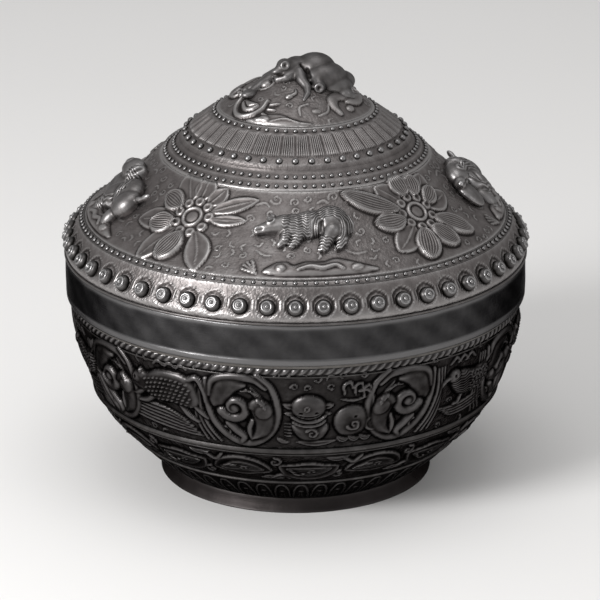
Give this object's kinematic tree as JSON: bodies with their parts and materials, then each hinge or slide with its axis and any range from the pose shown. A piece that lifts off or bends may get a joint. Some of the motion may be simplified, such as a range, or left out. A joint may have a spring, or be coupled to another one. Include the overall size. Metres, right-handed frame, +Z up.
{
  "type": "paan box",
  "caption": "Round footed metal box for betel leaf, with a peaked lift-off lid, chased friezes, bead and boss borders and a plain skirt that slides over a collar.",
  "frame": {"origin": "on the table at the middle of the foot ring", "axes": "+Z up along the box's own axis, the front of the picture towards -Y, +X to its right"},
  "size_m": [0.1204, 0.1206, 0.1112],
  "materials": {
    "lid_silver": "chased, oxidised in the hollows, satin",
    "polished_silver": "high relief, rubbed bright",
    "skirt_silver": "plain, dark, finely brushed round",
    "bowl_silver": "chased, deeply oxidised, rubbed on the high places",
    "wire_silver": "rubbed wire",
    "foot_silver": "plain strip, warm satin",
    "plain_silver": "plain inner strip, satin"
  },
  "bodies": {
    "bowl": {"foot_ring": "foot_silver", "bowl_shell": "bowl_silver", "bowl_rim_ring": "wire_silver", "bowl_collar": "plain_silver", "bowl_rope_wire": "wire_silver", "bowl_rope_line_wire": "wire_silver", "bowl_waist_wire": "wire_silver", "bowl_waist_line_wire": "wire_silver", "bowl_lower_wire": "wire_silver", "bowl_scroll_medallions": "bowl_silver", "bowl_beast_panels": "bowl_silver", "bowl_lower_leaves": "bowl_silver", "bowl_arch_border": "bowl_silver"},
    "lid": {"lid_crown": "lid_silver", "lid_skirt": "skirt_silver", "lid_seam_wire": "wire_silver", "lid_boss_row": "polished_silver", "lid_lower_bead_row": "polished_silver", "lid_outer_pair_bead_row": "polished_silver", "lid_inner_pair_bead_row": "polished_silver", "lid_large_bead_row": "polished_silver", "lid_top_bead_row": "polished_silver", "lid_lower_line_wires": "lid_silver", "lid_top_line_wires": "lid_silver", "lid_fluted_tongues": "lid_silver", "lid_flower_petals": "lid_silver", "lid_flower_centres": "lid_silver", "lid_flower_leaves": "lid_silver", "lid_frieze_beasts": "polished_silver", "lid_peak_scrolls": "lid_silver", "lid_peak_beast": "polished_silver", "lid_climbing_beasts": "polished_silver"}
  },
  "joints": [
    {"name": "lid_lift", "type": "slide", "parent": "bowl", "child": "lid", "axis": [0, 0, 1], "range_m": [0, 0.06]}
  ]
}
